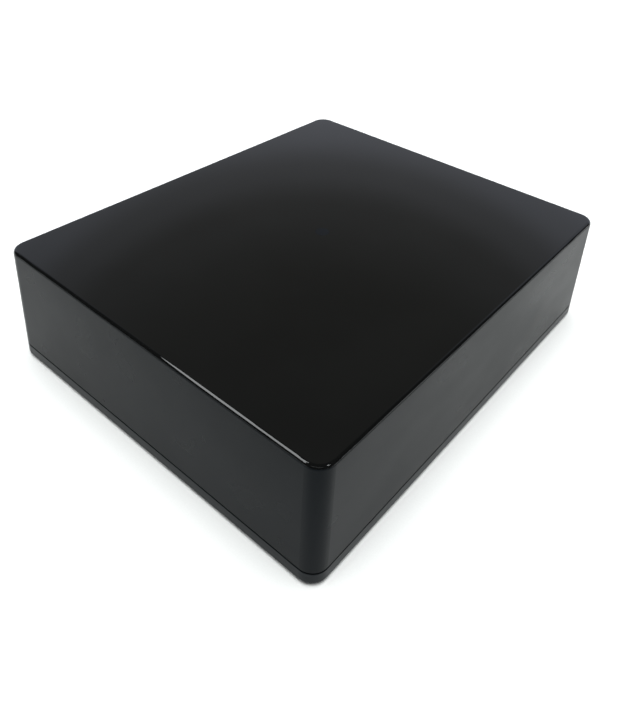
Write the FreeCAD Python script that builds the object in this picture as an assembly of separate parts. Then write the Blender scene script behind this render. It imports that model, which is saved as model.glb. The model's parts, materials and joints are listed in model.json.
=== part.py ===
import FreeCAD, Part
import math
import os

# Flat-top demagnetizer. Millimetres, +Z up, origin at the middle of the resting plane.
# The working face is the top plate. -Y is the front wall, +Y the rear wall with the power entry.

V = FreeCAD.Vector
X_AXIS = V(1, 0, 0)
Y_AXIS = V(0, 1, 0)
Z_AXIS = V(0, 0, 1)

# Housing
TOP_WIDTH = 135.0
TOP_LENGTH = 162.0
FOOT_PROUD = 0.6
BODY_HEIGHT = 43.9
TOP_Z = FOOT_PROUD + BODY_HEIGHT
DRAFT_DEG = 2.5
CORNER_R = 5.4
RIM_R = 1.2
WALL = 2.5
TOP_PLATE = 3.0
CEILING_Z = TOP_Z - TOP_PLATE
BAND_HEIGHT = 4.9
SEAM_Z = FOOT_PROUD + BAND_HEIGHT
SEAM_GAP = 0.45
SEAM_DEPTH = 1.1
TONGUE_CLEARANCE = 0.1
TONGUE = 1.3
TONGUE_TOP_Z = 7.1
FLOOR = 2.5
FLOOR_Z = FOOT_PROUD + FLOOR
BASE_BOTTOM_R = 1.2
BASE_TOP_R = 0.35

# Corner screws that hold the base cover to the top shell
POST_X = 58.5
POST_Y = 72.0
POST_R = 4.5
BOSS_R = 4.0
POST_TOP_Z = 9.0
BASE_SCREW_R = 1.75
BASE_SCREW_HEAD_R = 3.2
BASE_SCREW_HEAD = 2.2
BASE_SCREW_WELL_R = 3.5
BASE_SCREW_HOLE_R = 1.95
BASE_SCREW_SEAT_Z = 4.6
BASE_SCREW_TIP_Z = 20.0
RIB_HALF = 0.75
RIB_LOW_Z = 16.0

# Screws: shares of the head's height, and the cross recess
HEAD_ROUNDING = 0.3
RECESS_SHARE = 0.5
RECESS_HALF = 1.5
RECESS_SLOT_HALF = 0.35
M3_R = 1.45
M3_HOLE_R = 1.6
M3_HEAD_R = 2.7
THREAD_FIT = 0.05

# How far joined shapes run into each other and cuts run past a face
PAST = 1.0

# Feet and label under the base
FOOT_X = 50.0
FOOT_Y = 60.0
FOOT_R = 6.0
FOOT_POCKET = 1.0
FOOT_EDGE_R = 0.4
FOOT_CLEARANCE = 0.2
LABEL_WIDTH = 60.0
LABEL_LENGTH = 36.0
LABEL_POCKET = 0.25
LABEL_THICK = 0.2
LABEL_MARGIN = 0.2
LABEL_CORNER_R = 1.0

# Rear connection bay, recessed so that nothing stands out past the base
BAY_HALF = 50.0
BAY_LOW_Z = 10.0
BAY_HIGH_Z = 38.0
BAY_R = 3.0
BAY_FACE_Y = 76.5
BAY_WALL_Y = BAY_FACE_Y - WALL
BAY_MID_Z = (BAY_LOW_Z + BAY_HIGH_Z) / 2

# Coil assembly under the top plate
COIL_BOSS_X = 46.0
COIL_BOSS_Y = 32.0
COIL_BOSS_R = 3.5
COIL_R = 50.0
FLANGE_R = 52.0
PAD_R = 49.0
HUB_R = 17.0
HUB_BORE_R = 15.0
BOBBIN_LOW_Z = 27.5
LOWER_FLANGE = 2.0
MID_FLANGE_Z = 36.5
MID_FLANGE = 1.0
UPPER_FLANGE_Z = 39.0
BOBBIN_TOP_Z = 40.5
SENSE_R = 30.0
TAPE = 0.6
EAR_R = 6.0
BOBBIN_SCREW_R = 1.25
BOBBIN_SCREW_HEAD_R = 2.4
BOBBIN_SCREW_HEAD = 1.8
BOBBIN_SCREW_TIP_Z = CEILING_Z - 2.5
COIL_LEAD_XS = (27.5, 32.5)
COIL_LEAD_Y = 40.0
PIPE_R = 2.5
PIPE_CLEARANCE = 0.02
PIPE_COLLAR_R = 4.0
PIPE_COLLAR = 0.8
PIPE_LOW_Z = 39.1
LED_SHELF_R = 12.0
LED_SHELF = 1.5
LED_BOARD = 1.2
LED_R = 2.5
LED_HEIGHT = 8.6
LED_RIM = 1.0
LED_RIM_R = 2.9
LED_LEAD_XS = (3.7, 6.3)
LED_LEAD_R = 0.7

# Control board
BOARD_HALF = 56.0
BOARD_FRONT_Y = -48.0
BOARD_REAR_Y = 34.0
BOARD_Z = 7.1
BOARD = 1.6
BOARD_TOP_Z = BOARD_Z + BOARD
BOARD_HOLE_X = 51.0
BOARD_HOLE_YS = (-43.0, 29.0)
BOARD_CORNER_R = 2.0
STANDOFF_R = 3.5
BOARD_SCREW_R = 1.45
BOARD_SCREW_HEAD_R = 2.75
BOARD_SCREW_HEAD = 2.0
BOARD_SCREW_TIP_Z = FLOOR_Z - 0.4
SHEET = 0.4

# Terminal blocks on the board: half width, half depth, height, pitch of the ways
TERMINAL_Y = 28.0
MAINS_TERMINAL_X = -36.0
COIL_TERMINAL_X = 30.0
LED_TERMINAL_X = 5.0
LARGE_TERMINAL = (5.2, 4.0, 10.0, 5.0)
SMALL_TERMINAL = (2.8, 2.6, 7.0, 2.6)
TERMINAL_REAR_Y = TERMINAL_Y + LARGE_TERMINAL[1] + 0.1
WIRE_Z = 12.5

# Block-shaped components on the board: low x, high x, low y, high y, height
X_CAPACITOR = (-49.0, -31.0, -8.0, 0.0, 15.0)
CHARGE_RESISTOR = (-50.0, -26.0, -37.0, -28.0, 9.0)
SUPPLY_MODULE = (-26.0, -1.0, -1.0, 19.0, 14.0)

# Other components on the board
CHOKE_X = -40.0
CHOKE_Y = 13.0
CHOKE_R = 8.5
CHOKE_BORE_R = 4.0
CHOKE_HEIGHT = 10.0
CHOKE_CARRIER_HALF = 5.0
BRIDGE_Y = -20.0
BRIDGE_THICK = 3.5
BRIDGE_LOW_X = -48.0
BRIDGE_HIGH_X = -33.0
BRIDGE_TOP = 14.0
BRIDGE_LEG_XS = (-46.0, -42.3, -38.7, -35.0)
LEG_HEIGHT = 3.0
CHARGE_CAN_X = -14.0
CHARGE_CAN_Y = -28.0
CHARGE_CAN_R = 8.0
CHARGE_CAN_HEIGHT = 17.0
CHIP_X = 8.0
CHIP_LENGTH = 20.0
CHIP_FRONT_Y = -11.0
CHIP_REAR_Y = -4.6
CHIP_LEGS = 7
CHIP_PITCH = 2.54
RESISTOR_FIRST_Y = 2.0
RESISTOR_PITCH = 4.0
RESISTOR_COUNT = 6
RESISTOR_X = 29.5
RESISTOR_HALF = 3.5
RESISTOR_REACH = 6.0
RESISTOR_R = 1.3
RESISTOR_WIRE_R = 0.35

# Thyristor on its heat sink
SINK_X = 26.0
SINK_FACE_Y = -28.0
SINK_HEIGHT = 18.0
SINK_SCREW_Z = BOARD_TOP_Z + 14.75
SINK_PLATE = 3.0
SINK_FIN = 9.0
SINK_FIN_HALF = 0.6
SINK_FIN_PITCH = 4
SINK_HALF = 15
TAB_PLATE = 1.3
TAB_HALF_X = 5.0
TAB_HEIGHT = 14.5
THYRISTOR_BODY = 8.2
THYRISTOR_THICK = 4.5
THYRISTOR_LEG_XS = (-2.5, 0.0, 2.5)

# Storage capacitor across the front
CAN_R = 12.5
CAN_HALF = 31.0
CAN_Y = -64.5
CAN_Z = 19.0
CAN_TAB_Y = 5.0
CRADLE_HALF_X = 26.0
CRADLE_HALF_Y = 9.0
CRADLE_HEIGHT_Z = CAN_Z - 8.0
CRADLE_GAP_X = 12.5
CRADLE_GAP_HALF = 7.5
CRIMP_START = 4.5
CRIMP_END = 3.3
CRIMP = 0.7
TERMINAL_REACH = 5.5
TIE_HALF = 2.4
TIE = 1.1
TIE_HEAD = 4.5
TIE_HEAD_HALF = 3.0

# Appliance inlet
INLET_X = -27.0
INLET_FLANGE_HALF = 20.0
INLET_FLANGE_R = 4.0
INLET_BODY_EDGE_R = 1.0
PANEL_CLEARANCE = 0.15
INLET_SCREW_X = 15.5
INLET_BODY_HALF = 11.3
INLET_BODY_HALF_Z = 6.8
SOCKET_HALF = 8.3
SOCKET_HALF_Z = 4.8
SOCKET_DEPTH = 12.8
PIN_X = 4.3
PIN_R = 1.2
PIN_FIT = 0.02
FLANGE = 2.0
FLANGE_EDGE_R = 0.6
INLET_FLANGE_HALF_Z = 8.5
INLET_BACK_Y = 60.0
INLET_TAB_END_Y = 50.0
INLET_SCREW_HEAD = 1.8
INLET_SCREW_TIP_Y = 69.0
INLET_NUT = 2.4
INLET_NUT_R = 3.1

# Fuse holder
FUSE_X = 40.0
HOLDER_R = 6.0
HOLDER_BORE_R = 4.3
HOLDER_END_Y = 44.0
HOLDER_FLOOR_Y = 46.0
FUSE_CAP_R = 5.9
CAP_SHANK_R = 4.22
FUSE_R = 2.6
FUSE_START_Y = 57.0
FUSE_LENGTH = 20.0
FUSE_END_CAP = 5.5
HOLDER_FRONT_Y = BAY_FACE_Y + 1.8
HOLDER_FLANGE_R = HOLDER_R + 1.5
FUSE_CAP_HEAD = 4.0
FUSE_CAP_GAP = 0.2
FUSE_CAP_INNER_Y = 68.0
COIN_SLOT_HALF = 4.2
COIN_SLOT_HALF_Z = 0.7
COIN_SLOT = 1.4
SIDE_BLADE_Y = 60.0
SIDE_BLADE_LOW_Z = 11.5
SIDE_SLEEVE_TOP_Z = 17.0
END_BLADE_Y = 36.5
CONTACT_DISC_R = 3.5
SPRING_R = 2.4
SPRING_WIRE_R = 0.3
SPRING_TURNS = 5
FUSE_NUT = 4.0
FUSE_NUT_R = 9.0

# Rocker switch
SWITCH_X = 14.0
BEZEL_HALF = 7.5
BEZEL_HALF_Z = 10.5
FRAME_HALF = 6.5
FRAME_HALF_Z = 9.5
FRAME_BACK_Y = 60.5
FRAME_FLOOR = 2.0
CAVITY_HALF = 5.4
CAVITY_HALF_Z = 8.6
PIVOT_Y = 73.5
ROCKER_HALF = 5.1
ROCKER_HALF_Z = 7.4
ROCKER_TILT = 10.0
STUB_R = 1.5
STUB_FIT = 0.06
LEVER_Y = 65.6
LEVER_TILT = 6.0
CONTACT_Z = -6.5
SWITCH_BLADE_Y = 52.5
PLUNGER_R = 1.2
PLUNGER_TIP = 5.6
PLUNGER_ROOT = 2.6
KNUCKLE_R = 0.9
LEVER_HALF = 2.0
LEVER_HALF_Z = 7.4
RIVET_R = 1.2

# Tabs, sleeves and leads
TAB_HALF = 2.4
TAB = 0.8
BLADE_FIT = 0.05
SLEEVE_HALF = 3.2
SLEEVE_THICK_HALF = 1.8
SLEEVE_LENGTH = 8.0
SLEEVE_MIDDLE = 3.0
SLEEVE_EDGE_R = 0.6
SLEEVE_CAP = 0.8
LEAD_R = 1.1
LEAD_BEND_SHARE = 0.45


def box(x0, x1, y0, y1, z0, z1):
    return Part.makeBox(x1 - x0, y1 - y0, z1 - z0, V(x0, y0, z0))


def rod_z(x, y, z0, z1, radius):
    return Part.makeCylinder(radius, z1 - z0, V(x, y, z0), Z_AXIS)


def rod_y(x, z, y0, y1, radius):
    return Part.makeCylinder(radius, y1 - y0, V(x, y0, z), Y_AXIS)


def rod_x(y, z, x0, x1, radius):
    return Part.makeCylinder(radius, x1 - x0, V(x0, y, z), X_AXIS)


def ring_z(x, y, z0, z1, inner, outer):
    return rod_z(x, y, z0, z1, outer).cut(rod_z(x, y, z0, z1, inner))


def joined(shapes):
    return shapes[0].fuse(shapes[1:]).removeSplitter()


def four_corners(x, y):
    return [(sx * x, sy * y) for sx in (-1, 1) for sy in (-1, 1)]


def board_holes():
    return [(x, y) for x in (-BOARD_HOLE_X, BOARD_HOLE_X) for y in BOARD_HOLE_YS]


def rounded_wire(centre, u, v, half_u, half_v, radius):
    """A rounded rectangle in the plane of the unit vectors u and v."""
    edges = []
    arcs = []
    for quarter in range(4):
        start = quarter * math.pi / 2
        mid = start + math.pi / 4
        corner_u = math.copysign(half_u - radius, math.cos(mid))
        corner_v = math.copysign(half_v - radius, math.sin(mid))
        angles = (start, mid, start + math.pi / 2)
        arcs.append([
            centre + u * (corner_u + radius * math.cos(a)) + v * (corner_v + radius * math.sin(a))
            for a in angles
        ])
    for quarter in range(4):
        arc = arcs[quarter]
        following = arcs[(quarter + 1) % 4]
        edges.append(Part.Arc(*arc).toShape())
        edges.append(Part.LineSegment(arc[2], following[0]).toShape())
    return Part.Wire(edges)


def rounded_plate_y(x, z, half_x, half_z, radius, y0, y1):
    """A rounded rectangle facing +Y, extruded from y0 to y1."""
    wire = rounded_wire(V(x, y0, z), X_AXIS, Z_AXIS, half_x, half_z, radius)
    return Part.Face(wire).extrude(V(0, y1 - y0, 0))


def rounded_plate_z(x, y, half_x, half_y, radius, z0, z1):
    wire = rounded_wire(V(x, y, z0), X_AXIS, Y_AXIS, half_x, half_y, radius)
    return Part.Face(wire).extrude(V(0, 0, z1 - z0))


def outline_at(z, inset):
    """The drafted housing's outline at one height, taken in by inset; its corner radius stays the same."""
    spread = (TOP_Z - z) * math.tan(math.radians(DRAFT_DEG)) - inset
    return rounded_wire(
        V(0, 0, z), X_AXIS, Y_AXIS, TOP_WIDTH / 2 + spread, TOP_LENGTH / 2 + spread, CORNER_R - inset
    )


def drafted_block(z0, z1, inset):
    return Part.makeLoft([outline_at(z0, inset), outline_at(z1, inset)], True, True)


def edges_at(shape, z):
    """All edges of a shape that lie flat at one height."""
    return [e for e in shape.Edges if abs(e.BoundBox.ZMin - z) < 1e-4 and abs(e.BoundBox.ZMax - z) < 1e-4]


def edges_at_y(shape, y):
    return [e for e in shape.Edges if abs(e.BoundBox.YMin - y) < 1e-4 and abs(e.BoundBox.YMax - y) < 1e-4]


def hexagon_y(x, z, y0, y1, corner_r, hole_r):
    angles = [k * math.pi / 3 for k in range(7)]
    points = [V(x + corner_r * math.cos(a), y0, z + corner_r * math.sin(a)) for a in angles]
    nut = Part.Face(Part.makePolygon(points)).extrude(V(0, y1 - y0, 0))
    return nut.cut(rod_y(x, z, y0, y1, hole_r))


def lead(points, radius=LEAD_R):
    """A round insulated lead: straight runs joined by arcs tangent to both."""
    points = [V(*p) for p in points]
    edges = []
    start = points[0]
    for before, corner, after in zip(points, points[1:], points[2:]):
        run_in = before - corner
        run_out = after - corner
        cut = LEAD_BEND_SHARE * min(run_in.Length, run_out.Length)
        run_in.normalize()
        run_out.normalize()
        half_angle = run_in.getAngle(run_out) / 2
        bisector = run_in + run_out
        bisector.normalize()
        to_arc = cut / math.cos(half_angle) - cut * math.tan(half_angle)
        arc_start = corner + run_in * cut
        arc_end = corner + run_out * cut
        edges.append(Part.LineSegment(start, arc_start).toShape())
        edges.append(Part.Arc(arc_start, corner + bisector * to_arc, arc_end).toShape())
        start = arc_end
    edges.append(Part.LineSegment(start, points[-1]).toShape())
    profile = Part.Wire(Part.makeCircle(radius, points[0], points[1] - points[0]))
    return Part.Wire(edges).makePipeShell([profile], True, False)


def pan_screw_down(x, y, seat_z, tip_z, shank_r, head_r, head):
    """A pan-head screw put in from above."""
    cap = rod_z(x, y, seat_z, seat_z + head, head_r)
    cap = cap.makeFillet(HEAD_ROUNDING * head, edges_at(cap, seat_z + head))
    cap = cap.cut(cross_recess(x, y, seat_z + head, -RECESS_SHARE * head))
    return cap.fuse(rod_z(x, y, tip_z, seat_z, shank_r))


def pan_screw_up(x, y, seat_z, tip_z, shank_r, head_r, head):
    """A pan-head screw put in from below."""
    cap = rod_z(x, y, seat_z - head, seat_z, head_r)
    cap = cap.makeFillet(HEAD_ROUNDING * head, edges_at(cap, seat_z - head))
    cap = cap.cut(cross_recess(x, y, seat_z - head, RECESS_SHARE * head))
    return cap.fuse(rod_z(x, y, seat_z, tip_z, shank_r))


def cross_recess(x, y, z, depth):
    low = min(z, z + depth)
    high = max(z, z + depth)
    along_x = box(x - RECESS_HALF, x + RECESS_HALF, y - RECESS_SLOT_HALF, y + RECESS_SLOT_HALF, low, high)
    along_y = box(x - RECESS_SLOT_HALF, x + RECESS_SLOT_HALF, y - RECESS_HALF, y + RECESS_HALF, low, high)
    return along_x.fuse(along_y)


# ---------------------------------------------------------------- housing


def top_shell():
    seam_top = SEAM_Z + SEAM_GAP / 2
    seam_seat = SEAM_Z - SEAM_GAP / 2
    outside = drafted_block(seam_top, TOP_Z, 0)
    outside = outside.makeFillet(RIM_R, edges_at(outside, TOP_Z))
    step = drafted_block(seam_seat, seam_top + PAST, SEAM_DEPTH)
    bay_back = box(
        -BAY_HALF - WALL, BAY_HALF + WALL, BAY_WALL_Y, TOP_LENGTH / 2, BAY_LOW_Z - WALL, BAY_HIGH_Z + WALL
    )
    hollow = drafted_block(seam_seat - PAST, CEILING_Z, WALL).cut(bay_back)
    shell = outside.fuse(step).cut(hollow)
    bay = rounded_plate_y(
        0, BAY_MID_Z, BAY_HALF, (BAY_HIGH_Z - BAY_LOW_Z) / 2, BAY_R, BAY_FACE_Y, TOP_LENGTH
    )
    shell = joined([shell] + shell_bosses()).cut(bay)
    return shell.cut(Part.makeCompound(shell_holes())).removeSplitter()


def shell_bosses():
    """Corner bosses with their ribs, and the four bosses that the coil hangs from."""
    bosses = []
    top = CEILING_Z + PAST
    for x, y in four_corners(POST_X, POST_Y):
        to_wall = math.copysign(TOP_WIDTH / 2 - WALL / 2, x)
        bosses.append(rod_z(x, y, POST_TOP_Z, top, BOSS_R))
        bosses.append(box(min(x, to_wall), max(x, to_wall), y - RIB_HALF, y + RIB_HALF, RIB_LOW_Z, top))
    for x, y in four_corners(COIL_BOSS_X, COIL_BOSS_Y):
        bosses.append(rod_z(x, y, BOBBIN_LOW_Z + LOWER_FLANGE, top, COIL_BOSS_R))
    return bosses


def shell_holes():
    wall = (BAY_WALL_Y - PAST, BAY_FACE_Y + PAST)
    inlet_half = INLET_BODY_HALF + PANEL_CLEARANCE
    inlet_half_z = INLET_BODY_HALF_Z + PANEL_CLEARANCE
    frame_half = FRAME_HALF + PANEL_CLEARANCE
    frame_half_z = FRAME_HALF_Z + PANEL_CLEARANCE
    holes = [
        rod_z(0, 0, CEILING_Z - PAST, TOP_Z + PAST, PIPE_R + PIPE_CLEARANCE),
        rounded_plate_y(INLET_X, BAY_MID_Z, inlet_half, inlet_half_z, INLET_BODY_EDGE_R, *wall),
        rod_y(FUSE_X, BAY_MID_Z, *wall, HOLDER_R + PANEL_CLEARANCE),
        box(
            SWITCH_X - frame_half, SWITCH_X + frame_half, *wall,
            BAY_MID_Z - frame_half_z, BAY_MID_Z + frame_half_z,
        ),
    ]
    for side in (-1, 1):
        holes.append(rod_y(INLET_X + side * INLET_SCREW_X, BAY_MID_Z, *wall, M3_HOLE_R))
    for x, y in four_corners(POST_X, POST_Y):
        holes.append(rod_z(x, y, POST_TOP_Z - PAST, BASE_SCREW_TIP_Z + PAST, BASE_SCREW_R + THREAD_FIT))
    for x, y in four_corners(COIL_BOSS_X, COIL_BOSS_Y):
        holes.append(rod_z(x, y, BOBBIN_LOW_Z, BOBBIN_SCREW_TIP_Z + 0.5, BOBBIN_SCREW_R + THREAD_FIT))
    return holes


def base_cover():
    seam_low = SEAM_Z - SEAM_GAP / 2
    tray = drafted_block(FOOT_PROUD, seam_low, 0)
    tray = tray.makeFillet(BASE_BOTTOM_R, edges_at(tray, FOOT_PROUD))
    tray = tray.makeFillet(BASE_TOP_R, edges_at(tray, seam_low))
    tongue_inset = WALL + TONGUE_CLEARANCE
    tongue = drafted_block(seam_low - PAST, TONGUE_TOP_Z, tongue_inset)
    hollow = drafted_block(FLOOR_Z, TONGUE_TOP_Z + PAST, tongue_inset + TONGUE)
    tray = tray.fuse(tongue).cut(hollow)
    tray = joined([tray] + base_posts()).cut(Part.makeCompound(base_pockets()))
    return tray.removeSplitter()


def base_posts():
    """Screw posts, board standoffs and the cradle of the storage capacitor."""
    floor = FLOOR_Z - PAST
    posts = [rod_z(x, y, floor, POST_TOP_Z, POST_R) for x, y in four_corners(POST_X, POST_Y)]
    posts += [rod_z(x, y, floor, BOARD_Z, STANDOFF_R) for x, y in board_holes()]
    posts.append(capacitor_cradle(floor))
    return posts


def capacitor_cradle(floor):
    """Three saddles under the can, with a tunnel for the tie below the middle one."""
    front = CAN_Y - CRADLE_HALF_Y
    rear = CAN_Y + CRADLE_HALF_Y
    tunnel_half = TIE_HALF + 0.4
    cradle = box(-CRADLE_HALF_X, CRADLE_HALF_X, front, rear, floor, CRADLE_HEIGHT_Z)
    cuts = [
        rod_x(CAN_Y, CAN_Z, -CAN_HALF, CAN_HALF, CAN_R + THREAD_FIT),
        box(-tunnel_half, tunnel_half, front, rear, FLOOR_Z, FLOOR_Z + TIE + 0.6),
    ]
    for middle in (-CRADLE_GAP_X, CRADLE_GAP_X):
        cuts.append(box(middle - CRADLE_GAP_HALF, middle + CRADLE_GAP_HALF, front, rear, FLOOR_Z, CAN_Z))
    return cradle.cut(Part.makeCompound(cuts))


def base_pockets():
    under = FOOT_PROUD - PAST
    label_top = FOOT_PROUD + LABEL_POCKET
    pockets = [
        box(-LABEL_WIDTH / 2, LABEL_WIDTH / 2, -LABEL_LENGTH / 2, LABEL_LENGTH / 2, under, label_top)
    ]
    for x, y in four_corners(FOOT_X, FOOT_Y):
        pockets.append(rod_z(x, y, under, FOOT_PROUD + FOOT_POCKET, FOOT_R + FOOT_CLEARANCE))
    for x, y in four_corners(POST_X, POST_Y):
        pockets.append(rod_z(x, y, under, BASE_SCREW_SEAT_Z, BASE_SCREW_WELL_R))
        pockets.append(rod_z(x, y, under, POST_TOP_Z + PAST, BASE_SCREW_HOLE_R))
    for x, y in board_holes():
        pockets.append(rod_z(x, y, BOARD_SCREW_TIP_Z - 0.1, BOARD_Z + PAST, BOARD_SCREW_R + THREAD_FIT))
    return pockets


def base_screws():
    return [
        pan_screw_up(
            x, y, BASE_SCREW_SEAT_Z, BASE_SCREW_TIP_Z, BASE_SCREW_R, BASE_SCREW_HEAD_R, BASE_SCREW_HEAD
        )
        for x, y in four_corners(POST_X, POST_Y)
    ]


def rubber_feet():
    feet = []
    for x, y in four_corners(FOOT_X, FOOT_Y):
        foot = rod_z(x, y, 0, FOOT_PROUD + FOOT_POCKET, FOOT_R)
        feet.append(foot.makeFillet(FOOT_EDGE_R, edges_at(foot, 0)))
    return feet


def rating_label():
    high = FOOT_PROUD + LABEL_POCKET
    half_x = LABEL_WIDTH / 2 - LABEL_MARGIN
    half_y = LABEL_LENGTH / 2 - LABEL_MARGIN
    return rounded_plate_z(0, 0, half_x, half_y, LABEL_CORNER_R, high - LABEL_THICK, high)


def light_pipe():
    stem = rod_z(0, 0, PIPE_LOW_Z, TOP_Z, PIPE_R)
    return joined([stem, rod_z(0, 0, CEILING_Z - PIPE_COLLAR, CEILING_Z, PIPE_COLLAR_R)])


# ---------------------------------------------------------------- coil


def coil_bobbin():
    parts = [
        rod_z(0, 0, BOBBIN_LOW_Z, BOBBIN_LOW_Z + LOWER_FLANGE, FLANGE_R),
        rod_z(0, 0, MID_FLANGE_Z, MID_FLANGE_Z + MID_FLANGE, FLANGE_R),
        rod_z(0, 0, UPPER_FLANGE_Z, BOBBIN_TOP_Z, FLANGE_R),
        rod_z(0, 0, BOBBIN_LOW_Z, BOBBIN_TOP_Z, HUB_R),
    ]
    for x, y in four_corners(COIL_BOSS_X, COIL_BOSS_Y):
        parts.append(rod_z(x, y, BOBBIN_LOW_Z, BOBBIN_LOW_Z + LOWER_FLANGE, EAR_R))
    bobbin = joined(parts)
    cuts = [
        rod_z(0, 0, BOBBIN_LOW_Z + LED_SHELF, BOBBIN_TOP_Z, HUB_BORE_R),
        rod_z(0, 0, BOBBIN_LOW_Z, BOBBIN_TOP_Z, LED_SHELF_R),
    ]
    for x, y in four_corners(COIL_BOSS_X, COIL_BOSS_Y):
        cuts.append(rod_z(x, y, BOBBIN_LOW_Z, BOBBIN_TOP_Z, BOBBIN_SCREW_R + 0.2))
        cuts.append(rod_z(x, y, BOBBIN_LOW_Z + LOWER_FLANGE, BOBBIN_TOP_Z, COIL_BOSS_R + 0.2))
    return bobbin.cut(Part.makeCompound(cuts))


def main_coil():
    return ring_z(0, 0, BOBBIN_LOW_Z + LOWER_FLANGE, MID_FLANGE_Z, HUB_R, COIL_R)


def sense_coil():
    return ring_z(0, 0, MID_FLANGE_Z + MID_FLANGE, UPPER_FLANGE_Z, HUB_R, SENSE_R)


def coil_tape():
    return ring_z(0, 0, BOBBIN_LOW_Z + LOWER_FLANGE, MID_FLANGE_Z, COIL_R, COIL_R + TAPE)


def coil_pad():
    return ring_z(0, 0, BOBBIN_TOP_Z, CEILING_Z, HUB_R, PAD_R)


def bobbin_screws():
    return [
        pan_screw_up(
            x, y, BOBBIN_LOW_Z, BOBBIN_SCREW_TIP_Z, BOBBIN_SCREW_R, BOBBIN_SCREW_HEAD_R, BOBBIN_SCREW_HEAD
        )
        for x, y in four_corners(COIL_BOSS_X, COIL_BOSS_Y)
    ]


def coil_leads():
    bend_z = 18
    turn_y = 36
    return [
        lead([
            (x, COIL_LEAD_Y, BOBBIN_LOW_Z), (x, COIL_LEAD_Y, bend_z), (x, turn_y, WIRE_Z),
            (x, TERMINAL_REAR_Y, WIRE_Z),
        ])
        for x in COIL_LEAD_XS
    ]


def led_board():
    low = BOBBIN_LOW_Z + LED_SHELF
    return rod_z(0, 0, low, low + LED_BOARD, HUB_BORE_R - 0.3)


def indicator_led():
    low = BOBBIN_LOW_Z + LED_SHELF + LED_BOARD
    rim = rod_z(0, 0, low, low + LED_RIM, LED_RIM_R)
    stem = rod_z(0, 0, low, low + LED_HEIGHT - LED_R, LED_R)
    dome = Part.makeSphere(LED_R, V(0, 0, low + LED_HEIGHT - LED_R))
    return joined([rim, stem, dome])


def led_leads():
    start_z = BOBBIN_LOW_Z + LED_SHELF
    start_y = 6
    run_z = 23
    end_z = BOARD_TOP_Z + SMALL_TERMINAL[2]
    return [
        lead(
            [(x, start_y, start_z), (x, start_y, run_z), (x, TERMINAL_Y, run_z), (x, TERMINAL_Y, end_z)],
            LED_LEAD_R,
        )
        for x in LED_LEAD_XS
    ]


# ---------------------------------------------------------------- control board


def control_board():
    middle_y = (BOARD_FRONT_Y + BOARD_REAR_Y) / 2
    half_y = (BOARD_REAR_Y - BOARD_FRONT_Y) / 2
    board = rounded_plate_z(0, middle_y, BOARD_HALF, half_y, BOARD_CORNER_R, BOARD_Z, BOARD_TOP_Z)
    holes = [rod_z(x, y, BOARD_Z - PAST, BOARD_TOP_Z + PAST, M3_HOLE_R) for x, y in board_holes()]
    return board.cut(Part.makeCompound(holes))


def board_screws():
    return [
        pan_screw_down(
            x, y, BOARD_TOP_Z, BOARD_SCREW_TIP_Z, BOARD_SCREW_R, BOARD_SCREW_HEAD_R, BOARD_SCREW_HEAD
        )
        for x, y in board_holes()
    ]


def insulation_sheet():
    middle_y = (BOARD_FRONT_Y + BOARD_REAR_Y) / 2
    half_y = (BOARD_REAR_Y - BOARD_FRONT_Y) / 2
    sheet = rounded_plate_z(0, middle_y, BOARD_HALF, half_y - 1, BOARD_CORNER_R, FLOOR_Z, FLOOR_Z + SHEET)
    holes = [rod_z(x, y, FLOOR_Z, FLOOR_Z + SHEET, STANDOFF_R + 0.4) for x, y in board_holes()]
    return sheet.cut(Part.makeCompound(holes))


def terminal_block(x, half_x, half_y, height, pitch):
    """A two-way terminal block with a screw well over each wire."""
    chamfer = 0.8
    well_r = 1.1
    well = 3.0
    top = BOARD_TOP_Z + height
    block = box(x - half_x, x + half_x, TERMINAL_Y - half_y, TERMINAL_Y + half_y, BOARD_TOP_Z, top)
    block = block.makeChamfer(chamfer, edges_at(block, top))
    wells = [rod_z(x + side * pitch / 2, TERMINAL_Y, top - well, top, well_r) for side in (-1, 1)]
    return block.cut(Part.makeCompound(wells))


def line_choke():
    low = BOARD_TOP_Z + 0.6
    high = BOARD_TOP_Z + CHOKE_HEIGHT
    half = CHOKE_CARRIER_HALF
    core = ring_z(CHOKE_X, CHOKE_Y, low, high, CHOKE_BORE_R, CHOKE_R)
    core = core.makeFillet(1.4, edges_at(core, low) + edges_at(core, high))
    carrier = box(CHOKE_X - half, CHOKE_X + half, CHOKE_Y - half, CHOKE_Y + half, BOARD_TOP_Z, low + 0.2)
    return joined([core, carrier])


def film_block(x0, x1, y0, y1, height):
    """A moulded component body with softened top edges."""
    block = box(x0, x1, y0, y1, BOARD_TOP_Z, BOARD_TOP_Z + height)
    return block.makeFillet(0.6, edges_at(block, BOARD_TOP_Z + height))


def bridge_rectifier():
    foot = BOARD_TOP_Z + LEG_HEIGHT
    rear = BRIDGE_Y + BRIDGE_THICK
    leg_y = BRIDGE_Y + 1.4
    leg_half = 0.5
    body = box(BRIDGE_LOW_X, BRIDGE_HIGH_X, BRIDGE_Y, rear, foot, BOARD_TOP_Z + BRIDGE_TOP)
    legs = [box(x - leg_half, x + leg_half, leg_y, leg_y + 0.7, BOARD_TOP_Z, foot) for x in BRIDGE_LEG_XS]
    return joined([body] + legs)


def charge_capacitor():
    top = BOARD_TOP_Z + CHARGE_CAN_HEIGHT
    low = BOARD_TOP_Z + 2
    can = rod_z(CHARGE_CAN_X, CHARGE_CAN_Y, BOARD_TOP_Z, top, CHARGE_CAN_R)
    can = can.makeFillet(0.8, edges_at(can, top))
    return can.cut(ring_z(CHARGE_CAN_X, CHARGE_CAN_Y, low, low + 1, CHARGE_CAN_R - 0.5, CHARGE_CAN_R + PAST))


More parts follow.
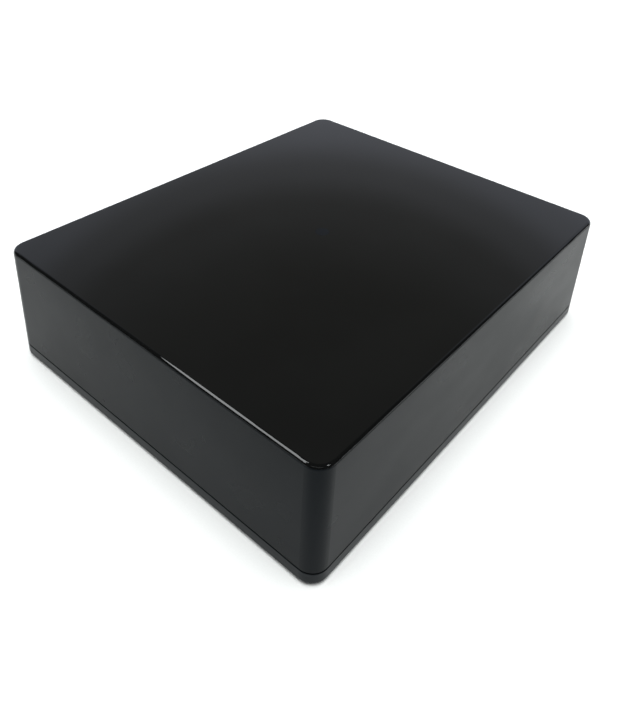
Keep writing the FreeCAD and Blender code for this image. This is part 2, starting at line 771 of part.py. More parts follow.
def heat_sink():
    top = BOARD_TOP_Z + SINK_HEIGHT
    root_y = SINK_FACE_Y - SINK_PLATE
    end_y = root_y - SINK_FIN
    plate = box(SINK_X - SINK_HALF, SINK_X + SINK_HALF, root_y, SINK_FACE_Y, BOARD_TOP_Z, top)
    fins = [
        box(SINK_X + x - SINK_FIN_HALF, SINK_X + x + SINK_FIN_HALF, end_y, root_y, BOARD_TOP_Z, top)
        for x in range(1 - SINK_HALF, SINK_HALF, SINK_FIN_PITCH)
    ]
    screw_hole = rod_y(SINK_X, SINK_SCREW_Z, end_y, SINK_FACE_Y, M3_R + THREAD_FIT)
    return joined([plate] + fins).cut(screw_hole)


def thyristor():
    front = SINK_FACE_Y
    foot = BOARD_TOP_Z + LEG_HEIGHT
    left = SINK_X - TAB_HALF_X
    right = SINK_X + TAB_HALF_X
    leg_y = front + 2
    leg_half = 0.4
    tab = box(left, right, front, front + TAB_PLATE, foot, foot + TAB_HEIGHT)
    body = box(left, right, front + TAB_PLATE, front + THYRISTOR_THICK, foot, foot + THYRISTOR_BODY)
    legs = [
        box(SINK_X + x - leg_half, SINK_X + x + leg_half, leg_y, leg_y + 0.5, BOARD_TOP_Z, foot)
        for x in THYRISTOR_LEG_XS
    ]
    return joined([tab, body] + legs).cut(rod_y(SINK_X, SINK_SCREW_Z, front, front + TAB_PLATE, 1.8))


def thyristor_screw():
    seat = SINK_FACE_Y + TAB_PLATE
    top = seat + 2
    length = 6.3
    head = rod_y(SINK_X, SINK_SCREW_Z, seat, top, M3_HEAD_R)
    head = head.makeFillet(0.6, edges_at_y(head, top))
    return joined([head, rod_y(SINK_X, SINK_SCREW_Z, seat - length, seat, M3_R)])


def control_chip():
    top = BOARD_TOP_Z + 4.2
    leg_top = BOARD_TOP_Z + 2.5
    leg_half = 0.4
    middle_y = (CHIP_FRONT_Y + CHIP_REAR_Y) / 2
    first_leg_x = CHIP_X + CHIP_LENGTH / 2 - CHIP_PITCH * (CHIP_LEGS - 1) / 2
    body = box(CHIP_X, CHIP_X + CHIP_LENGTH, CHIP_FRONT_Y, CHIP_REAR_Y, BOARD_TOP_Z + 0.8, top)
    body = body.cut(rod_z(CHIP_X, middle_y, top - 0.5, top, 1.0))
    legs = []
    for k in range(CHIP_LEGS):
        left = first_leg_x + CHIP_PITCH * k - leg_half
        right = left + 2 * leg_half
        legs.append(box(left, right, CHIP_FRONT_Y - 1, CHIP_FRONT_Y, BOARD_TOP_Z, leg_top))
        legs.append(box(left, right, CHIP_REAR_Y, CHIP_REAR_Y + 1, BOARD_TOP_Z, leg_top))
    return joined([body] + legs)


def small_resistors():
    resistors = []
    z = BOARD_TOP_Z + 1.7
    left = RESISTOR_X - RESISTOR_REACH
    right = RESISTOR_X + RESISTOR_REACH
    for row in range(RESISTOR_COUNT):
        y = RESISTOR_FIRST_Y + RESISTOR_PITCH * row
        body = rod_x(y, z, RESISTOR_X - RESISTOR_HALF, RESISTOR_X + RESISTOR_HALF, RESISTOR_R)
        body = body.makeFillet(0.5, [e for e in body.Edges if e.BoundBox.XLength < 1e-4])
        route = [(left, y, BOARD_TOP_Z), (left, y, z), (right, y, z), (right, y, BOARD_TOP_Z)]
        resistors.append(joined([body, lead(route, RESISTOR_WIRE_R)]))
    return resistors


# ---------------------------------------------------------------- storage capacitor


def storage_capacitor():
    can = rod_x(CAN_Y, CAN_Z, -CAN_HALF, CAN_HALF, CAN_R)
    ends = [e for e in can.Edges if e.BoundBox.XLength < 1e-4]
    can = can.makeFillet(1.0, ends)
    crimp_span = (CAN_HALF - CRIMP_START, CAN_HALF - CRIMP_END)
    crimp = rod_x(CAN_Y, CAN_Z, *crimp_span, CAN_R + PAST)
    crimp = crimp.cut(rod_x(CAN_Y, CAN_Z, *crimp_span, CAN_R - CRIMP))
    return can.cut(crimp)


def capacitor_terminals():
    end_x = CAN_HALF + TERMINAL_REACH
    return [
        box(CAN_HALF, end_x, y - TAB_HALF, y + TAB_HALF, CAN_Z - TAB / 2, CAN_Z + TAB / 2)
        for y in (CAN_Y - CAN_TAB_Y, CAN_Y + CAN_TAB_Y)
    ]


def capacitor_tie():
    """A cable tie round the can and through the tunnel of its cradle."""
    inner = CAN_R + 0.15
    outer = inner + TIE
    low = FLOOR_Z + 0.3
    outside = joined([
        rod_x(CAN_Y, CAN_Z, -TIE_HALF, TIE_HALF, outer),
        box(-TIE_HALF, TIE_HALF, CAN_Y - outer, CAN_Y + outer, low, CAN_Z),
    ])
    inside = joined([
        rod_x(CAN_Y, CAN_Z, -TIE_HALF, TIE_HALF, inner),
        box(-TIE_HALF, TIE_HALF, CAN_Y - inner, CAN_Y + inner, low + TIE, CAN_Z),
    ])
    head_y = CAN_Y + inner
    half = TIE_HEAD_HALF
    head = box(-half, half, head_y, head_y + TIE_HEAD, CAN_Z - half, CAN_Z + half)
    return joined([outside.cut(inside), head])


def capacitor_leads():
    start_x = CAN_HALF + TERMINAL_REACH
    end_y = -44
    return [
        lead([(start_x, y, CAN_Z), (bend_x, y, CAN_Z), (bend_x, end_y, CAN_Z), (bend_x, end_y, BOARD_TOP_Z)])
        for y, bend_x in ((CAN_Y + CAN_TAB_Y, 40.5), (CAN_Y - CAN_TAB_Y, 46))
    ]


# ---------------------------------------------------------------- inlet


def inlet_socket():
    front = BAY_FACE_Y + FLANGE
    floor_y = front - SOCKET_DEPTH
    end_r = SOCKET_HALF_Z - 0.1
    flange = rounded_plate_y(
        INLET_X, BAY_MID_Z, INLET_FLANGE_HALF, INLET_FLANGE_HALF_Z, INLET_FLANGE_R, BAY_FACE_Y, front
    )
    flange = flange.makeFillet(FLANGE_EDGE_R, edges_at_y(flange, front))
    body = rounded_plate_y(
        INLET_X, BAY_MID_Z, INLET_BODY_HALF, INLET_BODY_HALF_Z, INLET_BODY_EDGE_R,
        INLET_BACK_Y, BAY_FACE_Y + PAST,
    )
    cuts = [rounded_plate_y(INLET_X, BAY_MID_Z, SOCKET_HALF, SOCKET_HALF_Z, end_r, floor_y, front)]
    for side in (-1, 1):
        cuts.append(rod_y(INLET_X + side * PIN_X, BAY_MID_Z, INLET_BACK_Y, floor_y, PIN_R + PIN_FIT))
        cuts.append(rod_y(INLET_X + side * INLET_SCREW_X, BAY_MID_Z, BAY_WALL_Y, front, M3_HOLE_R))
    return joined([flange, body]).cut(Part.makeCompound(cuts))


def inlet_pins():
    pins = []
    for side in (-1, 1):
        x = INLET_X + side * PIN_X
        tip_y = BAY_FACE_Y + 0.5
        pin = rod_y(x, BAY_MID_Z, INLET_BACK_Y, tip_y, PIN_R)
        pin = pin.makeFillet(0.8, edges_at_y(pin, tip_y))
        pins.append(joined([pin, blade_y(x, BAY_MID_Z, INLET_TAB_END_Y, INLET_BACK_Y)]))
    return pins


def inlet_screws():
    screws = []
    seat = BAY_FACE_Y + FLANGE
    top = seat + INLET_SCREW_HEAD
    recess = top - RECESS_SHARE * INLET_SCREW_HEAD
    for side in (-1, 1):
        x = INLET_X + side * INLET_SCREW_X
        head = rod_y(x, BAY_MID_Z, seat, top, M3_HEAD_R)
        head = head.makeFillet(0.6, edges_at_y(head, top))
        for half_x, half_z in ((RECESS_HALF, RECESS_SLOT_HALF), (RECESS_SLOT_HALF, RECESS_HALF)):
            head = head.cut(box(x - half_x, x + half_x, recess, top, BAY_MID_Z - half_z, BAY_MID_Z + half_z))
        screws.append(joined([head, rod_y(x, BAY_MID_Z, INLET_SCREW_TIP_Y, seat, M3_R)]))
    return screws


def inlet_nuts():
    inner_y = BAY_WALL_Y - INLET_NUT
    return [
        hexagon_y(INLET_X + x, BAY_MID_Z, inner_y, BAY_WALL_Y, INLET_NUT_R, M3_R + THREAD_FIT)
        for x in (-INLET_SCREW_X, INLET_SCREW_X)
    ]


# ---------------------------------------------------------------- fuse holder


def fuse_holder():
    flange = rod_y(FUSE_X, BAY_MID_Z, BAY_FACE_Y, HOLDER_FRONT_Y, HOLDER_FLANGE_R)
    flange = flange.makeFillet(0.5, edges_at_y(flange, HOLDER_FRONT_Y))
    body = rod_y(FUSE_X, BAY_MID_Z, HOLDER_END_Y, BAY_FACE_Y + PAST, HOLDER_R)
    cuts = [
        rod_y(FUSE_X, BAY_MID_Z, HOLDER_FLOOR_Y, HOLDER_FRONT_Y, HOLDER_BORE_R),
        blade_y(FUSE_X, BAY_MID_Z, HOLDER_END_Y, HOLDER_FLOOR_Y, BLADE_FIT),
        side_blade(BLADE_FIT),
    ]
    return joined([flange, body]).cut(Part.makeCompound(cuts))


def blade_y(x, z, y0, y1, grow=0.0):
    return box(x - TAB_HALF - grow, x + TAB_HALF + grow, y0, y1, z - TAB / 2 - grow, z + TAB / 2 + grow)


def side_blade(grow=0.0):
    """The blade that leaves the side of the fuse holder, pointing down."""
    half_x = TAB_HALF + grow
    half_y = TAB / 2 + grow
    top = BAY_MID_Z - HOLDER_BORE_R + 0.6
    return box(
        FUSE_X - half_x, FUSE_X + half_x, SIDE_BLADE_Y - half_y, SIDE_BLADE_Y + half_y, SIDE_BLADE_LOW_Z, top
    )


def fuse_contacts():
    disc = rod_y(FUSE_X, BAY_MID_Z, HOLDER_FLOOR_Y, HOLDER_FLOOR_Y + TAB, CONTACT_DISC_R)
    end_blade = blade_y(FUSE_X, BAY_MID_Z, END_BLADE_Y, HOLDER_FLOOR_Y + TAB / 2)
    return [joined([disc, end_blade]), side_blade()]


def fuse_spring():
    low = HOLDER_FLOOR_Y + TAB + SPRING_WIRE_R
    length = FUSE_START_Y - 0.1 - SPRING_WIRE_R - low
    helix = Part.makeHelix(length / SPRING_TURNS, length, SPRING_R)
    section = Part.Wire(Part.makeCircle(SPRING_WIRE_R, V(SPRING_R, 0, 0), Y_AXIS))
    spring = Part.Wire(helix.Edges).makePipeShell([section], True, True)
    spring.rotate(V(0, 0, 0), X_AXIS, -90)
    spring.translate(V(FUSE_X, low, BAY_MID_Z))
    return spring


def fuse_nut():
    return hexagon_y(FUSE_X, BAY_MID_Z, BAY_WALL_Y - FUSE_NUT, BAY_WALL_Y, FUSE_NUT_R, HOLDER_R + THREAD_FIT)


def fuse_cap():
    low = HOLDER_FRONT_Y + FUSE_CAP_GAP
    top = HOLDER_FRONT_Y + FUSE_CAP_HEAD
    head = rod_y(FUSE_X, BAY_MID_Z, low, top, FUSE_CAP_R)
    head = head.makeFillet(0.9, edges_at_y(head, top))
    shank = rod_y(FUSE_X, BAY_MID_Z, FUSE_CAP_INNER_Y, low + PAST, CAP_SHANK_R)
    coin_slot = box(
        FUSE_X - COIN_SLOT_HALF, FUSE_X + COIN_SLOT_HALF, top - COIN_SLOT, top,
        BAY_MID_Z - COIN_SLOT_HALF_Z, BAY_MID_Z + COIN_SLOT_HALF_Z,
    )
    fuse_bore = rod_y(FUSE_X, BAY_MID_Z, FUSE_CAP_INNER_Y, FUSE_START_Y + FUSE_LENGTH + 0.1, FUSE_R + 0.15)
    return joined([head, shank]).cut(Part.makeCompound([coin_slot, fuse_bore]))


def fuse_glass():
    return rod_y(FUSE_X, BAY_MID_Z, FUSE_START_Y + 1, FUSE_START_Y + FUSE_LENGTH - 1, FUSE_R - 0.3)


def fuse_end_caps():
    caps = []
    for start in (FUSE_START_Y, FUSE_START_Y + FUSE_LENGTH - FUSE_END_CAP):
        cap = rod_y(FUSE_X, BAY_MID_Z, start, start + FUSE_END_CAP, FUSE_R)
        caps.append(cap.cut(fuse_glass()))
    return caps


# ---------------------------------------------------------------- rocker switch


def switch_frame():
    front = BAY_FACE_Y + FLANGE
    bezel = rounded_plate_y(SWITCH_X, BAY_MID_Z, BEZEL_HALF, BEZEL_HALF_Z, 1.2, BAY_FACE_Y, front)
    bezel = bezel.makeFillet(FLANGE_EDGE_R, edges_at_y(bezel, front))
    body = box(
        SWITCH_X - FRAME_HALF, SWITCH_X + FRAME_HALF, FRAME_BACK_Y, BAY_FACE_Y + PAST,
        BAY_MID_Z - FRAME_HALF_Z, BAY_MID_Z + FRAME_HALF_Z,
    )
    floor_y = FRAME_BACK_Y + FRAME_FLOOR
    cavity = box(
        SWITCH_X - CAVITY_HALF, SWITCH_X + CAVITY_HALF, floor_y, front,
        BAY_MID_Z - CAVITY_HALF_Z, BAY_MID_Z + CAVITY_HALF_Z,
    )
    pivots = rod_x(PIVOT_Y, BAY_MID_Z, SWITCH_X - FRAME_HALF, SWITCH_X + FRAME_HALF, STUB_R + STUB_FIT)
    blades = [blade_y(SWITCH_X, BAY_MID_Z + z, FRAME_BACK_Y, floor_y, BLADE_FIT) for z in (0, CONTACT_Z)]
    return joined([bezel, body]).cut(Part.makeCompound([cavity, pivots] + blades))


def tipped(shape, y, degrees):
    """Turns a switch piece about an axis along X, through the switch's middle at depth y."""
    shape.rotate(V(SWITCH_X, y, BAY_MID_Z), X_AXIS, degrees)
    return shape


def rocker_outline():
    """The rocker's side view, drawn level: a shallow V face over a body that narrows inwards."""
    half = ROCKER_HALF_Z
    face = 7.0
    dip = 5.7
    shoulder = -1.2
    leg = -4.8
    leg_half = 2.0
    profile = [
        (face, -half), (dip, -half * 0.12), (dip, half * 0.12), (face, half), (shoulder, half * 0.62),
        (shoulder - 0.8, leg_half), (leg, leg_half), (leg, -leg_half), (shoulder - 0.8, -leg_half),
        (shoulder, -half * 0.62), (face, -half),
    ]
    left = SWITCH_X - ROCKER_HALF
    return [V(left, PIVOT_Y + depth, BAY_MID_Z + up) for depth, up in profile]


def power_rocker():
    body = Part.Face(Part.makePolygon(rocker_outline())).extrude(V(2 * ROCKER_HALF, 0, 0))
    long_edges = [e for e in body.Edges if e.BoundBox.YMin > PIVOT_Y + 5.5 and e.BoundBox.XLength > 1]
    body = body.makeFillet(0.5, long_edges)
    reach = FRAME_HALF - 0.3
    stubs = rod_x(PIVOT_Y, BAY_MID_Z, SWITCH_X - reach, SWITCH_X + reach, STUB_R)
    rocker = joined([body, stubs])
    bore_y = PIVOT_Y - PLUNGER_ROOT
    plunger_bore = rod_y(SWITCH_X, BAY_MID_Z, bore_y - PLUNGER_TIP, bore_y, PLUNGER_R + THREAD_FIT)
    return tipped(rocker.cut(plunger_bore), PIVOT_Y, -ROCKER_TILT)


def rocker_plunger():
    tip = Part.makeSphere(PLUNGER_R, V(SWITCH_X, PIVOT_Y - PLUNGER_TIP, BAY_MID_Z))
    stem = rod_y(SWITCH_X, BAY_MID_Z, PIVOT_Y - PLUNGER_TIP, PIVOT_Y - PLUNGER_ROOT, PLUNGER_R)
    return tipped(joined([tip, stem]), PIVOT_Y, -ROCKER_TILT)


def contact_lever():
    left = SWITCH_X - LEVER_HALF
    right = SWITCH_X + LEVER_HALF
    knuckle = rod_x(LEVER_Y, BAY_MID_Z, left, right, KNUCKLE_R)
    strip = box(
        left, right, LEVER_Y + 0.3, LEVER_Y + KNUCKLE_R, BAY_MID_Z - LEVER_HALF_Z, BAY_MID_Z + LEVER_HALF_Z
    )
    return tipped(joined([knuckle, strip]), LEVER_Y, LEVER_TILT)


def switch_terminals():
    rivet_y = LEVER_Y - 1.4
    common = blade_y(SWITCH_X, BAY_MID_Z, SWITCH_BLADE_Y, LEVER_Y - KNUCKLE_R - 0.05)
    blade = blade_y(SWITCH_X, BAY_MID_Z + CONTACT_Z, SWITCH_BLADE_Y, rivet_y + 0.2)
    rivet = rod_y(SWITCH_X, BAY_MID_Z + CONTACT_Z, rivet_y, rivet_y + 0.8, RIVET_R)
    return [common, joined([blade, rivet])]


# ---------------------------------------------------------------- internal wiring


def sleeve_on_y_blade(x, z, blade_end_y):
    """An insulated push-on sleeve over a blade that points to -Y, its lead leaving sideways."""
    low = blade_end_y - SLEEVE_CAP
    high = low + SLEEVE_LENGTH
    body = box(x - SLEEVE_HALF, x + SLEEVE_HALF, low, high, z - SLEEVE_THICK_HALF, z + SLEEVE_THICK_HALF)
    body = body.makeFillet(SLEEVE_EDGE_R, [e for e in body.Edges if e.BoundBox.YLength > 1])
    return body.cut(blade_y(x, z, blade_end_y - BLADE_FIT, high, BLADE_FIT))


def sleeve_on_side_blade():
    low = SIDE_BLADE_LOW_Z - SLEEVE_CAP
    front = SIDE_BLADE_Y - SLEEVE_THICK_HALF
    rear = SIDE_BLADE_Y + SLEEVE_THICK_HALF
    body = box(FUSE_X - SLEEVE_HALF, FUSE_X + SLEEVE_HALF, front, rear, low, SIDE_SLEEVE_TOP_Z)
    body = body.makeFillet(SLEEVE_EDGE_R, [e for e in body.Edges if e.BoundBox.ZLength > 1])
    return body.cut(side_blade(BLADE_FIT))


def spade_sleeves():
    return [
        sleeve_on_y_blade(INLET_X - PIN_X, BAY_MID_Z, INLET_TAB_END_Y),
        sleeve_on_y_blade(INLET_X + PIN_X, BAY_MID_Z, INLET_TAB_END_Y),
        sleeve_on_y_blade(FUSE_X, BAY_MID_Z, END_BLADE_Y),
        sleeve_on_y_blade(SWITCH_X, BAY_MID_Z, SWITCH_BLADE_Y),
        sleeve_on_y_blade(SWITCH_X, BAY_MID_Z + CONTACT_Z, SWITCH_BLADE_Y),
        sleeve_on_side_blade(),
    ]


def live_lead():
    start_z = BAY_MID_Z - SLEEVE_THICK_HALF
    x = INLET_X + PIN_X
    y = INLET_TAB_END_Y + SLEEVE_MIDDLE
    fuse_y = END_BLADE_Y + SLEEVE_MIDDLE
    return lead([
        (x, y, start_z), (x, y, 12), (-12, 50, 6), (14, 48, 6), (FUSE_X, fuse_y, 9), (FUSE_X, fuse_y, start_z)
    ])


def fused_lead():
    start_x = FUSE_X - SLEEVE_HALF
    end_y = SWITCH_BLADE_Y + SLEEVE_MIDDLE
    end_z = BAY_MID_Z + CONTACT_Z - SLEEVE_THICK_HALF
    return lead([
        (start_x, SIDE_BLADE_Y, 13), (28, SIDE_BLADE_Y, 13), (SWITCH_X, end_y, 10), (SWITCH_X, end_y, end_z)
    ])


def switched_lead():
    start_x = SWITCH_X - SLEEVE_HALF
    start_y = SWITCH_BLADE_Y + SLEEVE_MIDDLE
    end_x = MAINS_TERMINAL_X + LARGE_TERMINAL[3] / 2
    return lead([
        (start_x, start_y, BAY_MID_Z), (4, start_y, BAY_MID_Z), (-1, 50, 14), (-14, 42, WIRE_Z),
        (end_x, 41, WIRE_Z), (end_x, TERMINAL_REAR_Y, WIRE_Z),
    ])


def neutral_lead():
    start_z = BAY_MID_Z - SLEEVE_THICK_HALF
    x = INLET_X - PIN_X
    y = INLET_TAB_END_Y + SLEEVE_MIDDLE
    end_x = MAINS_TERMINAL_X - LARGE_TERMINAL[3] / 2
    return lead([(x, y, start_z), (x, y, 15), (end_x, 42, WIRE_Z), (end_x, TERMINAL_REAR_Y, WIRE_Z)])


# ---------------------------------------------------------------- all nodes


def all_nodes():
    return {
        "top_shell": top_shell(),
        "base_cover": base_cover(),
        "base_screws": base_screws(),
        "rubber_feet": rubber_feet(),
        "rating_label": rating_label(),
        "light_pipe": light_pipe(),
        "coil_bobbin": coil_bobbin(),
        "main_coil": main_coil(),
        "sense_coil": sense_coil(),
        "coil_tape": coil_tape(),
        "coil_pad": coil_pad(),
        "bobbin_screws": bobbin_screws(),
        "coil_leads": coil_leads(),
        "led_board": led_board(),
        "indicator_led": indicator_led(),
        "led_leads": led_leads(),
        "control_board": control_board(),
        "board_screws": board_screws(),
        "insulation_sheet": insulation_sheet(),
        "mains_terminal": terminal_block(MAINS_TERMINAL_X, *LARGE_TERMINAL),
        "coil_terminal": terminal_block(COIL_TERMINAL_X, *LARGE_TERMINAL),
        "led_terminal": terminal_block(LED_TERMINAL_X, *SMALL_TERMINAL),
        "line_choke": line_choke(),
        "x_capacitor": film_block(*X_CAPACITOR),
        "bridge_rectifier": bridge_rectifier(),
        "charge_resistor": film_block(*CHARGE_RESISTOR),
        "charge_capacitor": charge_capacitor(),
        "supply_module": film_block(*SUPPLY_MODULE),
        "thyristor": thyristor(),
        "heat_sink": heat_sink(),
        "thyristor_screw": thyristor_screw(),
        "control_chip": control_chip(),
        "small_resistors": small_resistors(),
        "storage_capacitor": storage_capacitor(),
        "capacitor_terminals": capacitor_terminals(),
        "capacitor_tie": capacitor_tie(),
        "capacitor_leads": capacitor_leads(),
        "inlet_socket": inlet_socket(),
        "inlet_pins": inlet_pins(),
        "inlet_screws": inlet_screws(),
        "inlet_nuts": inlet_nuts(),
        "fuse_holder": fuse_holder(),
        "fuse_nut": fuse_nut(),
        "fuse_contacts": fuse_contacts(),
        "fuse_spring": fuse_spring(),
        "fuse_cap": fuse_cap(),
        "fuse_glass": fuse_glass(),
        "fuse_end_caps": fuse_end_caps(),
        "switch_frame": switch_frame(),
        "switch_terminals": switch_terminals(),
        "power_rocker": power_rocker(),
        "rocker_plunger": rocker_plunger(),
        "contact_lever": contact_lever(),
        "spade_sleeves": spade_sleeves(),
        "live_lead": live_lead(),
        "fused_lead": fused_lead(),
        "switched_lead": switched_lead(),
        "neutral_lead": neutral_lead(),
    }


def export_all():
    os.makedirs("parts", exist_ok=True)
    for name, shape in all_nodes().items():
        solids = Part.makeCompound(shape) if isinstance(shape, list) else shape
        solids.exportStep("parts/" + name + ".step")
        print(name, len(solids.Solids), solids.isValid(), round(solids.Volume, 1))


export_all()
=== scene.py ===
import json
import math

import bmesh
import bpy
from mathutils import Matrix, Vector


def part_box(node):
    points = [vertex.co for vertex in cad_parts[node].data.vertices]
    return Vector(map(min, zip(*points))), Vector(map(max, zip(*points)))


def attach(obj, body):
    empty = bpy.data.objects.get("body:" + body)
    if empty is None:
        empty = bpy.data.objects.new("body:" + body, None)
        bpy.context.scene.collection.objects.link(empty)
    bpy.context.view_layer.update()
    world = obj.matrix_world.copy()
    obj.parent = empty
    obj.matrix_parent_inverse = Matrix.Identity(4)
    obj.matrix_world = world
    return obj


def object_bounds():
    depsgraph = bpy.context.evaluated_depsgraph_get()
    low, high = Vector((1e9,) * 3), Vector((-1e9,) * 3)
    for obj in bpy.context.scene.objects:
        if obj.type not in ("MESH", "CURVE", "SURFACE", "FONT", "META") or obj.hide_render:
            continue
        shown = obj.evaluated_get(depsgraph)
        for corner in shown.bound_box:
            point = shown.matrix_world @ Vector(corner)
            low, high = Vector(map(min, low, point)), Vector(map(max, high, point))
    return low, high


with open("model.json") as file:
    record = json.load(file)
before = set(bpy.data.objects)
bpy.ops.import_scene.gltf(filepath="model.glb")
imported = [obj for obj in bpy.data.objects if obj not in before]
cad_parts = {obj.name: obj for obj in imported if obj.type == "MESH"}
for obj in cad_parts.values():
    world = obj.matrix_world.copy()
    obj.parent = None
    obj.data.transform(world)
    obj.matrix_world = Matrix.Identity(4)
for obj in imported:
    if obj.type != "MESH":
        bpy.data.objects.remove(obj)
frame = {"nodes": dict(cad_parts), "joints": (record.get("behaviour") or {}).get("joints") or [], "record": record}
cad_low, cad_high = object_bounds()

# Flat-top demagnetizer, metres, in the CAD model's frame: +Z up, -Y the front wall, +Y the rear wall.
MM = 0.001
TOP_Z = cad_high.z
RIM_R = 1.2 * MM
BASE_LOW_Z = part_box("base_cover")[0].z
SHELL_LOW_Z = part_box("top_shell")[0].z
LABEL_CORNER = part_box("rating_label")[1]

# The two finishes of the top shell meet in the rounding of its rim
GLOSS_LOW_Z = TOP_Z - 0.66 * RIM_R
GLOSS_HIGH_Z = TOP_Z - 0.48 * RIM_R
SATIN_TINTS = ((0.0013, 0.0019, 0.0028), (0.0018, 0.0025, 0.0035))
GLOSS_TINTS = ((0.0029, 0.0030, 0.0029), (0.0035, 0.0036, 0.0035))
SHELL_IOR = 1.158
SHELL_SPECULAR_TINT = (0.84, 1.0, 1.08)
LACQUER_IOR = 1.42
LACQUER_ROUGHNESS = 0.02

# The base cover: rub marks low down, and painted shade along its top edge, in the gap under the top shell
RUB_TINTS = ((0.0050, 0.0060, 0.0072), (0.0120, 0.0130, 0.0140))
RUB_HEIGHT = 3 * MM
GAP_SHADE_LOW_Z = SHELL_LOW_Z - 0.175 * MM
GAP_SHADE_SOFTNESS = 0.1 * MM
GAP_SHADE_TINT = (0.0004, 0.0004, 0.0005)
BASE_IOR = 1.21
BASE_SPECULAR_TINT = (0.86, 1.0, 1.08)

# The printed frame and rules of the label
LABEL_LINE = 0.18 * MM
LABEL_MARGIN = 1.6 * MM
LABEL_RULE_SHARE = 0.36

# Camera: where it stands round the box, in half widths of the top
HALF_TOP_WIDTH = 67.5 * MM
CAMERA_AZIMUTH = math.radians(38.627)
CAMERA_ELEVATION = math.radians(34.682)
CAMERA_ROLL = math.radians(3.305)
CAMERA_DISTANCE = 3.9453 * HALF_TOP_WIDTH
CAMERA_SIDE = -0.0182 * HALF_TOP_WIDTH
CAMERA_RISE = 0.3402 * HALF_TOP_WIDTH
SENSOR = 36.0
LONG_SIDE_PX = 720.0
FOCAL_PX = 682.8
CENTRE_V_PX = 268.66
CLIP_NEAR = 0.01
CLIP_FAR = 20.0

# Room light: pale only on the side away from the camera, with a dark disc there that the top mirrors, and
# dim elsewhere. Each stop is the cosine of the angle to the disc's centre, a brightness and a blue tint.
DARK_DISC_DIRECTION = (-0.3705, 0.4917, 0.788)
ROOM_STOPS = (
    (0.0, 0.52, 0.16),
    (0.853, 0.50, 0.16),
    (0.879, 0.41, 0.12),
    (0.902, 0.27, 0.06),
    (0.923, 0.175, 0.0),
    (0.966, 0.12, -0.06),
)
DIM_ROOM = (0.030, 0.032, 0.034)
DIM_FROM = -0.58
DIM_TO = -0.38
SEEN_ROOM = (1.05, 1.05, 1.05)
FLOOR_HALF = 1.8
FLOOR_TINTS = ((0.88, 0.875, 0.865), (0.90, 0.895, 0.885))


